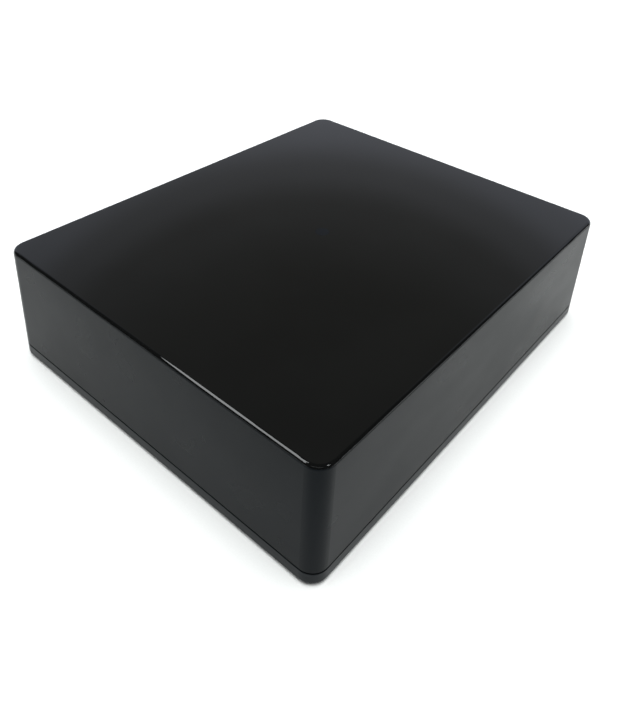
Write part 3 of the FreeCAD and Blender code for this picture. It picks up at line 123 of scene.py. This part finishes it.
class Graph:
    """A material's nodes: one Principled shader, and the helpers that feed it."""

    def __init__(self, name):
        self.material = bpy.data.materials.new(name)
        self.material.use_nodes = True
        self.tree = self.material.node_tree
        self.shader = self.tree.nodes["Principled BSDF"]
        self.place = self.add("ShaderNodeTexCoord").outputs["Object"]

    def add(self, kind, **settings):
        node = self.tree.nodes.new(kind)
        for key, value in settings.items():
            setattr(node, key, value)
        return node

    def link(self, source, socket):
        self.tree.links.new(source, socket)

    def stretched(self, scale):
        """The object coordinates scaled differently along X, Y and Z."""
        node = self.add("ShaderNodeMapping")
        node.inputs["Scale"].default_value = scale
        self.link(self.place, node.inputs["Vector"])
        return node.outputs["Vector"]

    def noise(self, size, detail=2.0, roughness=0.5, source=None):
        """Noise whose blotches are about size metres across."""
        node = self.add("ShaderNodeTexNoise")
        node.inputs["Scale"].default_value = 1.0 / size
        node.inputs["Detail"].default_value = detail
        node.inputs["Roughness"].default_value = roughness
        self.link(source or self.place, node.inputs["Vector"])
        return node.outputs["Fac"]

    def cells(self, size):
        """Distance to the nearest cell's centre, in cells of about size metres."""
        node = self.add("ShaderNodeTexVoronoi", feature="F1")
        node.inputs["Scale"].default_value = 1.0 / size
        self.link(self.place, node.inputs["Vector"])
        return node.outputs["Distance"]

    def bands(self, pitch, axis, distortion=0.0):
        """Round ridges of one pitch along X, Y or Z, such as the turns of a winding."""
        node = self.add("ShaderNodeTexWave", wave_type="BANDS", bands_direction=axis, wave_profile="SIN")
        node.inputs["Scale"].default_value = math.pi / (10.0 * pitch)
        node.inputs["Distortion"].default_value = distortion
        self.link(self.place, node.inputs["Vector"])
        return node.outputs["Fac"]

    def coordinate(self, axis):
        node = self.add("ShaderNodeSeparateXYZ")
        self.link(self.place, node.inputs["Vector"])
        return node.outputs[axis]

    def maths(self, operation, first, second=None):
        node = self.add("ShaderNodeMath", operation=operation)
        for index, value in enumerate((first, second)):
            if isinstance(value, (int, float)):
                node.inputs[index].default_value = value
            elif value is not None:
                self.link(value, node.inputs[index])
        return node.outputs["Value"]

    def between(self, value, from_low, from_high, to_low=0.0, to_high=1.0):
        """Maps a range of value smoothly onto another range."""
        node = self.add("ShaderNodeMapRange", interpolation_type="SMOOTHSTEP")
        node.inputs["From Min"].default_value = from_low
        node.inputs["From Max"].default_value = from_high
        node.inputs["To Min"].default_value = to_low
        node.inputs["To Max"].default_value = to_high
        self.link(value, node.inputs["Value"])
        return node.outputs["Result"]

    def blend(self, factor, first, second):
        """Mixes two numbers or outputs by factor."""
        node = self.add("ShaderNodeMix", data_type="FLOAT")
        self.link(factor, node.inputs["Factor"])
        for name, value in (("A", first), ("B", second)):
            if isinstance(value, (int, float)):
                node.inputs[name].default_value = value
            else:
                self.link(value, node.inputs[name])
        return node.outputs["Result"]

    def blend_colour(self, factor, first, second):
        node = self.add("ShaderNodeMix", data_type="RGBA")
        sockets = [s for s in node.inputs if s.type == "RGBA"]
        self.link(factor, node.inputs["Factor"])
        for socket, value in zip(sockets, (first, second)):
            if isinstance(value, tuple):
                socket.default_value = (*value, 1.0)
            else:
                self.link(value, socket)
        return [s for s in node.outputs if s.type == "RGBA"][0]

    def bump(self, height, depth, under=None):
        """A bump of the given depth in metres, laid over another one."""
        node = self.add("ShaderNodeBump")
        node.inputs["Distance"].default_value = depth
        self.link(height, node.inputs["Height"])
        if under is not None:
            self.link(under, node.inputs["Normal"])
        return node.outputs["Normal"]

    def feed(self, **sockets):
        """Sets or links the shader's inputs; an underscore stands for a space."""
        for key, value in sockets.items():
            socket = self.shader.inputs[key.replace("_", " ")]
            if isinstance(value, bpy.types.NodeSocket):
                self.link(value, socket)
            elif isinstance(value, tuple):
                socket.default_value = (*value, 1.0)
            else:
                socket.default_value = value
        return self.material


def shade(colour, factor):
    """The colour made lighter or darker by factor."""
    return tuple(min(1.0, c * factor) for c in colour)


def moulded(name, colour, rough, grain=0.25 * MM, depth=0.008 * MM, mottle=0.12, **extra):
    """Moulded plastic: fine eroded grain, faint flow marks and uneven sheen."""
    g = Graph(name)
    flow = g.noise(14 * MM, 3.0)
    handled = g.noise(3.5 * MM, 4.0, 0.6)
    tint = g.blend_colour(g.between(flow, 0.35, 0.65), shade(colour, 1 - mottle), shade(colour, 1 + mottle))
    sheen = g.between(handled, 0.3, 0.7, rough - 0.04, rough + 0.05)
    relief = g.bump(g.noise(grain, 2.0, 0.6), depth)
    return g.feed(Base_Color=tint, Roughness=sheen, Normal=relief, **extra)


def metal(name, colour, rough, stretch=(1.0, 1.0, 1.0), grain=0.2 * MM, depth=0.004 * MM, dull=0.65):
    """Metal: drawn or turned marks along the least stretched axis, with duller patches."""
    g = Graph(name)
    marks = g.noise(grain, 3.0, 0.65, g.stretched(stretch))
    patches = g.noise(4 * MM, 4.0, 0.6)
    tint = g.blend_colour(g.between(patches, 0.4, 0.75), colour, shade(colour, dull))
    sheen = g.blend(g.between(marks, 0.3, 0.7), rough - 0.07, rough + 0.1)
    return g.feed(Base_Color=tint, Metallic=1.0, Roughness=sheen, Normal=g.bump(marks, depth))


def winding(name, colour, pitch, axis):
    """Enamelled wire laid turn beside turn, with painted shade in the grooves between the turns."""
    g = Graph(name)
    turns = g.bands(pitch, axis, 0.15)
    layers = g.noise(2 * MM, 2.0)
    # The grooves between turns are painted a quarter as bright as the crowns: painted shade.
    tint = g.blend_colour(g.between(turns, 0.1, 0.6), shade(colour, 0.25), colour)
    sheen = g.between(layers, 0.3, 0.7, 0.22, 0.34)
    return g.feed(
        Base_Color=tint, Metallic=0.85, Roughness=sheen, Normal=g.bump(turns, 0.2 * MM), Coat_Weight=0.5,
        Coat_Roughness=0.15,
    )


def film(name, colour, rough, transmission=0.0):
    """Polyester tape or sheet: glossy, faintly creased, with a paler bloom."""
    g = Graph(name)
    creases = g.noise(5 * MM, 3.0, 0.55, g.stretched((1.0, 1.0, 0.25)))
    bloom = g.noise(1.2 * MM, 3.0)
    tint = g.blend_colour(g.between(bloom, 0.35, 0.75), colour, shade(colour, 1.25))
    sheen = g.between(bloom, 0.3, 0.7, rough, rough + 0.12)
    return g.feed(
        Base_Color=tint, Roughness=sheen, Normal=g.bump(creases, 0.06 * MM), Transmission_Weight=transmission
    )


def cellular(name, colour, cell, depth, rough):
    """Foam or rubber with small open or closed cells."""
    g = Graph(name)
    pores = g.cells(cell)
    dust = g.noise(1.5 * MM, 4.0, 0.7)
    tint = g.blend_colour(g.between(dust, 0.5, 0.8), colour, shade(colour, 2.2))
    sheen = g.between(pores, 0.1, 0.7, rough - 0.06, rough + 0.04)
    return g.feed(Base_Color=tint, Roughness=sheen, Normal=g.bump(pores, depth))


def printed_board(name, colour):
    """Solder mask over copper tracks: a lighter green where copper lies beneath."""
    g = Graph(name)
    wide = g.bands(2.54 * MM, "X", 1.2)
    cross = g.bands(3.81 * MM, "Y", 1.6)
    tracks = g.maths("MAXIMUM", g.between(wide, 0.80, 0.88), g.between(cross, 0.88, 0.93))
    weave = g.noise(0.5 * MM, 2.0)
    tint = g.blend_colour(tracks, shade(colour, 0.75), shade(colour, 1.7))
    sheen = g.between(weave, 0.3, 0.7, 0.2, 0.32)
    relief = g.bump(weave, 0.01 * MM, g.bump(tracks, 0.04 * MM))
    return g.feed(Base_Color=tint, Roughness=sheen, Normal=relief)


def housing_shell():
    """Top shell: a clear-coated glossy top with its rim, and satin side walls."""
    g = Graph("housing_black")
    height = g.coordinate("Z")
    glossy = g.between(height, GLOSS_LOW_Z, GLOSS_HIGH_Z)
    flow = g.noise(30 * MM, 2.0)
    smear = g.noise(14 * MM, 2.0, 0.5, g.stretched((1.0, 0.45, 1.0)))
    grain = g.noise(0.5 * MM, 2.0, 0.6)
    satin_tint = g.blend_colour(g.between(flow, 0.35, 0.65), *SATIN_TINTS)
    gloss_tint = g.blend_colour(g.between(flow, 0.35, 0.65), *GLOSS_TINTS)
    satin = g.between(smear, 0.3, 0.7, 0.27, 0.32)
    gloss = g.between(smear, 0.35, 0.75, 0.02, 0.06)
    wave = g.bump(g.noise(38 * MM, 1.0), 0.012 * MM)
    fine = g.bump(g.maths("MULTIPLY", grain, g.maths("SUBTRACT", 1.0, glossy)), 0.003 * MM, wave)
    return g.feed(
        Base_Color=g.blend_colour(glossy, satin_tint, gloss_tint),
        Roughness=g.blend(glossy, satin, gloss),
        IOR=SHELL_IOR,
        Specular_Tint=SHELL_SPECULAR_TINT,
        Coat_Weight=glossy,
        Coat_IOR=LACQUER_IOR,
        Coat_Roughness=LACQUER_ROUGHNESS,
        Normal=fine,
    )


def base_black():
    """Base cover: satin, a little greyer than the shell, with rub marks low down and painted shade along its top
    edge, in the gap under the top shell.
    """
    g = Graph("base_black")
    height = g.coordinate("Z")
    rub = g.noise(1.1 * MM, 4.0, 0.7, g.stretched((0.3, 0.3, 1.0)))
    low = g.between(height, BASE_LOW_Z, BASE_LOW_Z + RUB_HEIGHT, 1.0, 0.0)
    # From just under the top shell's lower edge upwards the colour is painted near black and dulled: painted shade
    # of the gap between the two parts.
    joint = g.between(height, GAP_SHADE_LOW_Z, GAP_SHADE_LOW_Z + GAP_SHADE_SOFTNESS)
    worn = g.maths("MULTIPLY", g.between(rub, 0.5, 0.75), low)
    tint = g.blend_colour(worn, *RUB_TINTS)
    sheen = g.blend(worn, 0.30, 0.42)
    return g.feed(
        Base_Color=g.blend_colour(joint, tint, GAP_SHADE_TINT),
        Roughness=g.blend(joint, sheen, 0.85),
        IOR=BASE_IOR,
        Specular_Tint=BASE_SPECULAR_TINT,
        Normal=g.bump(g.noise(0.3 * MM), 0.005 * MM),
    )


def smoked_lens():
    """Light pipe: polished smoked acrylic, dark blue, flush with the top."""
    g = Graph("smoked_lens")
    depth = g.noise(1.6 * MM, 2.0)
    tint = g.blend_colour(g.between(depth, 0.3, 0.7), (0.0008, 0.0020, 0.0040), (0.0011, 0.0026, 0.0054))
    return g.feed(
        Base_Color=tint, Roughness=g.between(depth, 0.3, 0.7, 0.03, 0.06), IOR=1.22, Coat_Weight=1.0,
        Coat_IOR=LACQUER_IOR, Coat_Roughness=LACQUER_ROUGHNESS,
    )


def foil_label(half_x, half_y):
    """Blank foil label: brushed along X, with a thin printed frame and two rules."""
    g = Graph("foil_silver")
    across = g.maths("ABSOLUTE", g.coordinate("X"))
    along = g.maths("ABSOLUTE", g.coordinate("Y"))
    edge = g.maths("MINIMUM", g.maths("SUBTRACT", half_x, across), g.maths("SUBTRACT", half_y, along))
    frame_line = g.maths("COMPARE", edge, LABEL_MARGIN)
    frame_line.node.inputs[2].default_value = LABEL_LINE
    rule = g.maths("COMPARE", along, LABEL_RULE_SHARE * half_y)
    rule.node.inputs[2].default_value = LABEL_LINE
    inside = g.maths("GREATER_THAN", edge, LABEL_MARGIN)
    ink = g.maths("MAXIMUM", frame_line, g.maths("MULTIPLY", rule, inside))
    brush = g.noise(0.12 * MM, 3.0, 0.6, g.stretched((0.03, 1.0, 1.0)))
    tint = g.blend_colour(ink, (0.62, 0.63, 0.64), (0.02, 0.02, 0.02))
    sheen = g.between(brush, 0.3, 0.7, 0.28, 0.42)
    return g.feed(
        Base_Color=tint, Metallic=g.maths("SUBTRACT", 1.0, ink), Roughness=sheen,
        Normal=g.bump(brush, 0.004 * MM),
    )


def clear_glass():
    """The fuse's tube: clear, with faint drawn streaks."""
    g = Graph("clear_glass")
    streak = g.noise(1.5 * MM, 2.0, 0.5, g.stretched((1.0, 0.2, 1.0)))
    return g.feed(
        Base_Color=(0.92, 0.97, 0.96), Roughness=g.between(streak, 0.3, 0.7, 0.0, 0.03), IOR=1.5,
        Transmission_Weight=1.0,
    )


BLACK = (0.0100, 0.0100, 0.0105)

MATERIALS = {
    "housing_black": housing_shell(),
    "base_black": base_black(),
    "smoked_lens": smoked_lens(),
    "rubber_black": cellular("rubber_black", (0.014, 0.014, 0.014), 0.35 * MM, 0.01 * MM, 0.78),
    "foil_silver": foil_label(LABEL_CORNER.x, LABEL_CORNER.y),
    "zinc_steel": metal("zinc_steel", (0.55, 0.56, 0.58), 0.34),
    "enamelled_copper": winding("enamelled_copper", (0.60, 0.21, 0.07), 0.85 * MM, "Z"),
    "bobbin_natural": moulded("bobbin_natural", (0.62, 0.57, 0.46), 0.48, Subsurface_Weight=0.1),
    "winding_tape": film("winding_tape", (0.72, 0.50, 0.06), 0.2),
    "foam_grey": cellular("foam_grey", (0.09, 0.09, 0.095), 0.6 * MM, 0.25 * MM, 0.9),
    "board_green": printed_board("board_green", (0.015, 0.11, 0.045)),
    "led_blue": moulded("led_blue", (0.12, 0.28, 0.72), 0.2, Transmission_Weight=0.4),
    "component_black": moulded("component_black", (0.016, 0.016, 0.017), 0.5),
    "ceramic_white": moulded("ceramic_white", (0.70, 0.68, 0.63), 0.62, 0.4 * MM, 0.02 * MM, 0.06),
    "film_yellow": moulded("film_yellow", (0.72, 0.42, 0.04), 0.3),
    "choke_winding": winding("choke_winding", (0.42, 0.14, 0.04), 0.9 * MM, "DIAGONAL"),
    "terminal_green": moulded("terminal_green", (0.04, 0.26, 0.11), 0.42),
    "can_sleeve": moulded("can_sleeve", (0.015, 0.03, 0.09), 0.22, 1.2 * MM, 0.01 * MM),
    "tin_plate": metal("tin_plate", (0.68, 0.68, 0.65), 0.3, (1.0, 0.2, 1.0)),
    "nickel": metal("nickel", (0.70, 0.69, 0.65), 0.2),
    "brass_contact": metal("brass_contact", (0.72, 0.50, 0.20), 0.3, (0.3, 1.0, 1.0)),
    "heat_sink_aluminium": metal(
        "heat_sink_aluminium", (0.60, 0.61, 0.62), 0.38, (1.0, 1.0, 0.05), 0.15 * MM
    ),
    "clear_glass": clear_glass(),
    "connector_black": moulded("connector_black", BLACK, 0.40, 0.22 * MM, 0.012 * MM),
    "resistor_blue": moulded("resistor_blue", (0.10, 0.30, 0.48), 0.3),
    "lead_brown": moulded("lead_brown", (0.13, 0.05, 0.02), 0.38),
    "lead_blue": moulded("lead_blue", (0.03, 0.09, 0.36), 0.38),
    "lead_black": moulded("lead_black", (0.015, 0.015, 0.016), 0.4),
    "lead_red": moulded("lead_red", (0.42, 0.025, 0.02), 0.5),
    "sleeve_clear": film("sleeve_clear", (0.55, 0.10, 0.08), 0.18, 0.3),
    "sheet_polyester": film("sheet_polyester", (0.72, 0.73, 0.69), 0.3, 0.25),
    "tie_nylon": moulded("tie_nylon", (0.66, 0.64, 0.56), 0.42, Subsurface_Weight=0.1),
}
MATERIALS["rocker_gloss"] = moulded("rocker_gloss", BLACK, 0.16, 0.5 * MM, 0.003 * MM)
MATERIALS["mark_white"] = moulded("mark_white", (0.72, 0.72, 0.70), 0.4)


def dress(piece, material):
    """Gives the piece that material alone."""
    piece.data.materials.clear()
    piece.data.materials.append(material)


for subpart in frame["record"]["subparts"]:
    dress(frame["nodes"][subpart["node"]], MATERIALS[subpart["material_slot"]])
dress(frame["nodes"]["power_rocker"], MATERIALS["rocker_gloss"])


# ---------------------------------------------------------------- marks on the rocker

ROCKER_JOINT = next(joint for joint in frame["joints"] if joint["name"] == "rocker_tip")
PIVOT = Vector(ROCKER_JOINT["pos_m"])
ROCKER_TILT = math.radians(-10.0)
FACE_DEPTHS = (7.0 * MM, 5.7 * MM)
FACE_HEIGHTS = (7.4 * MM, 0.888 * MM)
MARK_LIFT = 0.03 * MM
RING_OUTER_R = 1.55 * MM
RING_INNER_R = 1.2 * MM
BAR_HALF_WIDTH = 0.24 * MM
BAR_HALF_LENGTH = 1.4 * MM
BAR_CORE = 0.02 * MM


def rocker_face(side):
    """The matrix that lays a flat drawing in XY on one half of the rocker's face."""
    outer = Vector((0.0, FACE_DEPTHS[0], side * FACE_HEIGHTS[0]))
    inner = Vector((0.0, FACE_DEPTHS[1], side * FACE_HEIGHTS[1]))
    up = (outer - inner).normalized() * side
    out = Vector((1.0, 0.0, 0.0)).cross(up)
    out = out if out.y > 0 else -out
    across = up.cross(out)
    middle = (outer + inner) / 2
    local = Matrix((across, up, out)).transposed().to_4x4()
    tilt = Matrix.Rotation(ROCKER_TILT, 4, "X")
    return Matrix.Translation(PIVOT) @ tilt @ Matrix.Translation(middle) @ local


def flat_band(name, outline, inner, side):
    """A thin raised band between two outlines of the same number of points."""
    mesh = bpy.data.meshes.new(name)
    bm = bmesh.new()
    ring = len(outline)
    section = ((outline, -MARK_LIFT), (outline, MARK_LIFT), (inner, MARK_LIFT), (inner, -MARK_LIFT))
    rows = [[bm.verts.new((x, y, lift)) for x, y in points] for points, lift in section]
    for row in range(len(rows)):
        for k in range(ring):
            following = (k + 1) % ring
            lower, upper = rows[row], rows[(row + 1) % len(rows)]
            bm.faces.new((lower[k], lower[following], upper[following], upper[k]))
    bmesh.ops.recalc_face_normals(bm, faces=bm.faces)
    bm.to_mesh(mesh)
    bm.free()
    piece = bpy.data.objects.new(name, mesh)
    bpy.context.scene.collection.objects.link(piece)
    piece.data.transform(rocker_face(side))
    dress(piece, MATERIALS["mark_white"])
    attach(piece, "rocker")


def circle_points(radius, count=40):
    return [
        (radius * math.cos(2 * math.pi * k / count), radius * math.sin(2 * math.pi * k / count))
        for k in range(count)
    ]


def stadium_points(half_width, half_length, count=10):
    """A narrow bar with round ends, upright."""
    points = []
    for end in (1, -1):
        for k in range(count + 1):
            angle = math.pi * k / count + (0 if end > 0 else math.pi)
            points.append((half_width * math.cos(angle), end * half_length + half_width * math.sin(angle)))
    return points


flat_band("rocker_mark_ring", circle_points(RING_OUTER_R), circle_points(RING_INNER_R), -1)
flat_band(
    "rocker_mark_bar", stadium_points(BAR_HALF_WIDTH, BAR_HALF_LENGTH),
    stadium_points(BAR_CORE, BAR_HALF_LENGTH), 1,
)


# ---------------------------------------------------------------- floor, light and camera


def make_floor():
    mesh = bpy.data.meshes.new("floor")
    h = FLOOR_HALF
    mesh.from_pydata([(-h, -h, 0), (h, -h, 0), (h, h, 0), (-h, h, 0)], [], [(0, 1, 2, 3)])
    floor = bpy.data.objects.new("floor", mesh)
    bpy.context.scene.collection.objects.link(floor)
    g = Graph("floor_white")
    fibres = g.noise(0.6 * MM, 3.0)
    tint = g.blend_colour(g.between(fibres, 0.3, 0.7), *FLOOR_TINTS)
    dress(floor, g.feed(Base_Color=tint, Roughness=0.9, Specular_IOR_Level=0.0))


def softbox(name, place, size, radiance, mirrored, colour=(1.0, 1.0, 1.0), roll=0.0):
    """A rectangular light aimed at the box: a mirrored one makes only highlights, another only lights."""
    data = bpy.data.lights.new(name, "AREA")
    data.shape = "RECTANGLE"
    data.size, data.size_y = size
    data.energy = radiance * math.pi * size[0] * size[1]
    lamp = bpy.data.objects.new(name, data)
    bpy.context.scene.collection.objects.link(lamp)
    lamp.location = place
    data.color = colour
    lamp.visible_glossy = mirrored
    lamp.visible_diffuse = not mirrored
    direction = Vector((0.0, 0.0, TOP_Z)) - lamp.location
    turn = direction.to_track_quat("-Z", "Y").to_matrix().to_4x4() @ Matrix.Rotation(roll, 4, "Z")
    lamp.matrix_world = Matrix.Translation(lamp.location) @ turn


def room_world():
    """White where the camera sees it; in the surfaces, a pale far side with a dark disc, dim elsewhere."""
    world = bpy.data.worlds.new("room")
    bpy.context.scene.world = world
    world.use_nodes = True
    tree = world.node_tree
    links = tree.links
    background = tree.nodes["Background"]
    seen = tree.nodes.new("ShaderNodeTexCoord").outputs["Generated"]
    dot = tree.nodes.new("ShaderNodeVectorMath")
    dot.operation = "DOT_PRODUCT"
    dot.inputs[1].default_value = DARK_DISC_DIRECTION
    links.new(seen, dot.inputs[0])
    ramp = tree.nodes.new("ShaderNodeValToRGB")
    ramp.color_ramp.interpolation = "EASE"
    for position, value, tint in ROOM_STOPS:
        element = ramp.color_ramp.elements.new(position) if position > 0 else ramp.color_ramp.elements[0]
        element.color = (value * (1 - tint / 3), value, value * (1 + tint), 1.0)
    ramp.color_ramp.elements[-1].color = ramp.color_ramp.elements[-2].color
    links.new(dot.outputs["Value"], ramp.inputs["Fac"])
    behind = tree.nodes.new("ShaderNodeVectorMath")
    behind.operation = "DOT_PRODUCT"
    behind.inputs[1].default_value = (math.sin(CAMERA_AZIMUTH), -math.cos(CAMERA_AZIMUTH), 0.0)
    links.new(seen, behind.inputs[0])
    dim = tree.nodes.new("ShaderNodeMapRange")
    dim.interpolation_type = "SMOOTHSTEP"
    dim.inputs["From Min"].default_value = DIM_FROM
    dim.inputs["From Max"].default_value = DIM_TO
    links.new(behind.outputs["Value"], dim.inputs["Value"])
    glow = tree.nodes.new("ShaderNodeMix")
    glow.data_type = "RGBA"
    colours = [s for s in glow.inputs if s.type == "RGBA"]
    colours[1].default_value = (*DIM_ROOM, 1.0)
    links.new(dim.outputs["Result"], glow.inputs["Factor"])
    links.new(ramp.outputs["Color"], colours[0])
    path = tree.nodes.new("ShaderNodeLightPath")
    shown = tree.nodes.new("ShaderNodeMix")
    shown.data_type = "RGBA"
    sides = [s for s in shown.inputs if s.type == "RGBA"]
    sides[1].default_value = (*SEEN_ROOM, 1.0)
    links.new([s for s in glow.outputs if s.type == "RGBA"][0], sides[0])
    links.new(path.outputs["Is Camera Ray"], shown.inputs["Factor"])
    links.new([s for s in shown.outputs if s.type == "RGBA"][0], background.inputs["Color"])


def make_camera():
    back = Vector((
        math.sin(CAMERA_AZIMUTH) * math.cos(CAMERA_ELEVATION),
        -math.cos(CAMERA_AZIMUTH) * math.cos(CAMERA_ELEVATION),
        math.sin(CAMERA_ELEVATION),
    ))
    level = Vector((math.cos(CAMERA_AZIMUTH), math.sin(CAMERA_AZIMUTH), 0.0))
    upright = back.cross(level)
    right = math.cos(CAMERA_ROLL) * level + math.sin(CAMERA_ROLL) * upright
    up = math.cos(CAMERA_ROLL) * upright - math.sin(CAMERA_ROLL) * level
    data = bpy.data.cameras.new("camera")
    data.sensor_width = SENSOR
    data.lens = FOCAL_PX / LONG_SIDE_PX * SENSOR
    data.shift_y = (CENTRE_V_PX - LONG_SIDE_PX / 2) / LONG_SIDE_PX
    data.clip_start = CLIP_NEAR
    data.clip_end = CLIP_FAR
    camera = bpy.data.objects.new("camera", data)
    bpy.context.scene.collection.objects.link(camera)
    foot = Vector((0.0, 0.0, BASE_LOW_Z))
    place = back * CAMERA_DISTANCE + right * CAMERA_SIDE + up * CAMERA_RISE + foot
    turn = Matrix((right, up, back)).transposed().to_4x4()
    camera.matrix_world = Matrix.Translation(place) @ turn
    bpy.context.scene.camera = camera


make_floor()
room_world()
softbox("overhead", (0.12, -0.18, 4.80), (5.70, 5.70), 4.9, False, (0.97, 1.0, 1.0))
softbox("window_left", (-0.33, -0.40, 0.70), (0.34, 0.60), 6.5, True, roll=math.radians(41.0))
softbox("strip_front", (0.40, -0.62, 0.70), (0.80, 0.07), 1.6, True)
softbox("lamp_right", (0.60, 0.05, 0.80), (0.16, 0.16), 14.0, True)
make_camera()
bpy.context.scene.view_settings.view_transform = "Standard"
bpy.context.scene.view_settings.look = "None"
